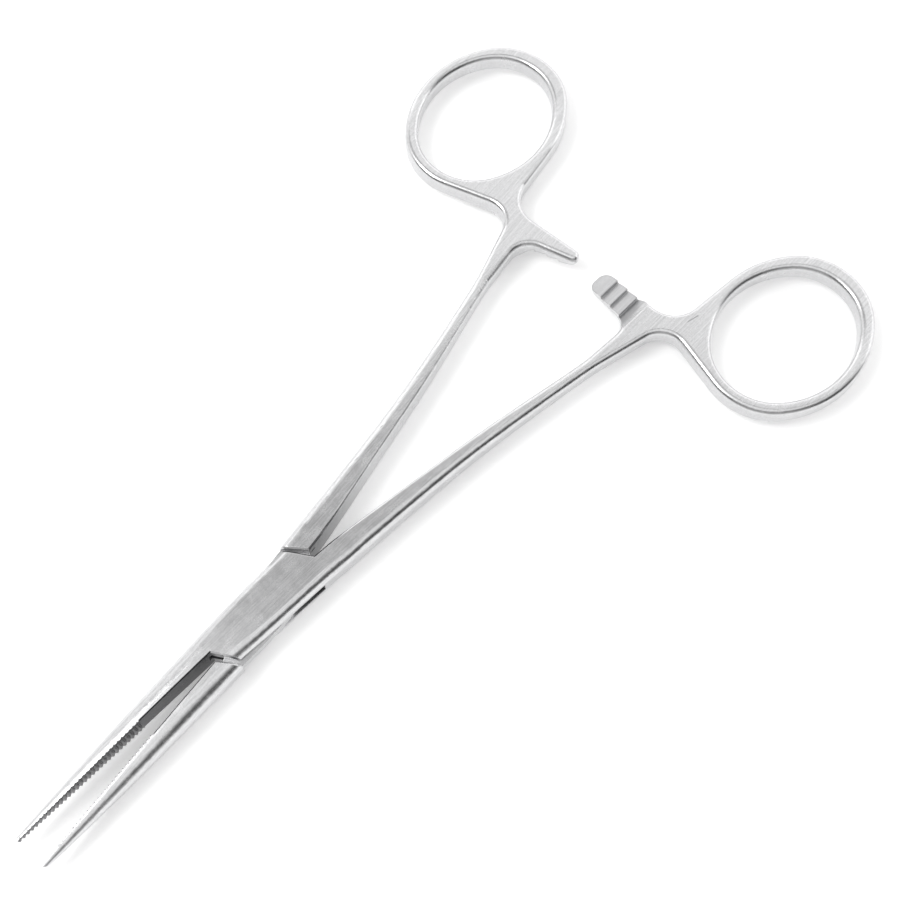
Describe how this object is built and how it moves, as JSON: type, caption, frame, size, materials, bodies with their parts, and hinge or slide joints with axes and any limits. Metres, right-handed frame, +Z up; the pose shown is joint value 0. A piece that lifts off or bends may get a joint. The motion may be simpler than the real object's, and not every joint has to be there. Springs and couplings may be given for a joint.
{
  "type": "hemostat forceps",
  "caption": "Straight box lock hemostat forceps with serrated jaws, tapering shanks, a toothed ratchet and two finger rings, shown part open.",
  "frame": {"origin": "pivot axis of the box lock, on the underside of the box", "axes": "+X from the pivot toward the finger rings along the bisector of the two halves, jaws toward -X, +Z up along the pivot axis, +Y toward the ring of the tongue half"},
  "size_m": [0.1379, 0.082, 0.005],
  "materials": {
    "steel": "fine satin brushed stainless steel"
  },
  "bodies": {
    "box_body": {"box_half": "steel", "pivot_pin": "steel"},
    "tongue_body": {"tongue_half": "steel"}
  },
  "joints": [
    {"name": "pivot", "type": "hinge", "parent": "box_body", "child": "tongue_body", "pos_m": [0, 0, 0.0025], "axis": [0, 0, 1], "range_deg": [-5.74, 84.26]}
  ]
}
